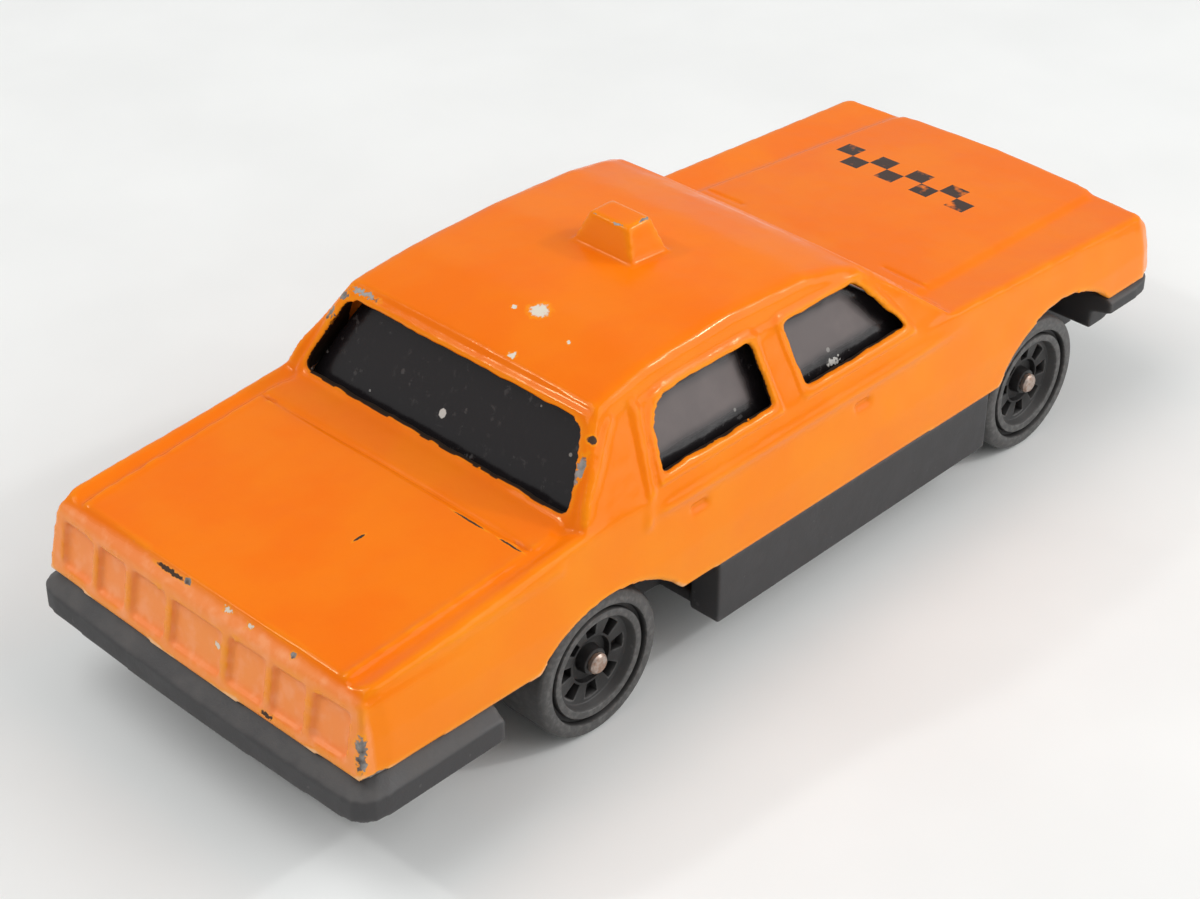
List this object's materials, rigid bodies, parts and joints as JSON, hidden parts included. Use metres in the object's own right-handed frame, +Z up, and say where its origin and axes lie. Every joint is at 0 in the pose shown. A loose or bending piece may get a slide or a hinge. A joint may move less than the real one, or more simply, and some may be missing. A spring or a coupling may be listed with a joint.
{
  "type": "die-cast toy car",
  "caption": "Die-cast toy taxi saloon: cast body with roof sign, black glazing insert, plastic base with bumpers and sills, and free-turning wheels on wire axles.",
  "frame": {"origin": "on the ground under the middle of the car", "axes": "+X forward along the car, +Y to the car's left, +Z up"},
  "size_m": [0.075, 0.0284, 0.0233],
  "materials": {
    "enamel": "thick glossy orange enamel, chipped at the edges",
    "black_glazing": "glossy opaque black",
    "base_plastic": "matte black",
    "wheel_plastic": "satin black",
    "axle_wire": "plain wire, slightly rusted heads",
    "rivet_zinc": "dull"
  },
  "bodies": {
    "chassis": {"body_shell": "enamel", "window_insert": "black_glazing", "base_plate": "base_plastic", "rear_rivet": "rivet_zinc", "front_rivet": "rivet_zinc"},
    "rear_axle_body": {"rear_axle": "axle_wire"},
    "front_axle_body": {"front_axle": "axle_wire"},
    "rear_left_wheel": {"wheel_rear_left": "wheel_plastic"},
    "rear_right_wheel": {"wheel_rear_right": "wheel_plastic"},
    "front_left_wheel": {"wheel_front_left": "wheel_plastic"},
    "front_right_wheel": {"wheel_front_right": "wheel_plastic"}
  },
  "joints": [
    {"name": "rear_axle_spin", "type": "hinge", "parent": "chassis", "child": "rear_axle_body", "pos_m": [-0.01787, 0, 0.00481], "axis": [0, 1, 0], "continuous": true},
    {"name": "front_axle_spin", "type": "hinge", "parent": "chassis", "child": "front_axle_body", "pos_m": [0.02353, 0, 0.00481], "axis": [0, 1, 0], "continuous": true},
    {"name": "rear_left_wheel_spin", "type": "hinge", "parent": "rear_axle_body", "child": "rear_left_wheel", "pos_m": [-0.01787, 0.0107, 0.00481], "axis": [0, 1, 0], "continuous": true},
    {"name": "rear_right_wheel_spin", "type": "hinge", "parent": "rear_axle_body", "child": "rear_right_wheel", "pos_m": [-0.01787, -0.0107, 0.00481], "axis": [0, 1, 0], "continuous": true},
    {"name": "front_left_wheel_spin", "type": "hinge", "parent": "front_axle_body", "child": "front_left_wheel", "pos_m": [0.02353, 0.0107, 0.00481], "axis": [0, 1, 0], "continuous": true},
    {"name": "front_right_wheel_spin", "type": "hinge", "parent": "front_axle_body", "child": "front_right_wheel", "pos_m": [0.02353, -0.0107, 0.00481], "axis": [0, 1, 0], "continuous": true}
  ]
}
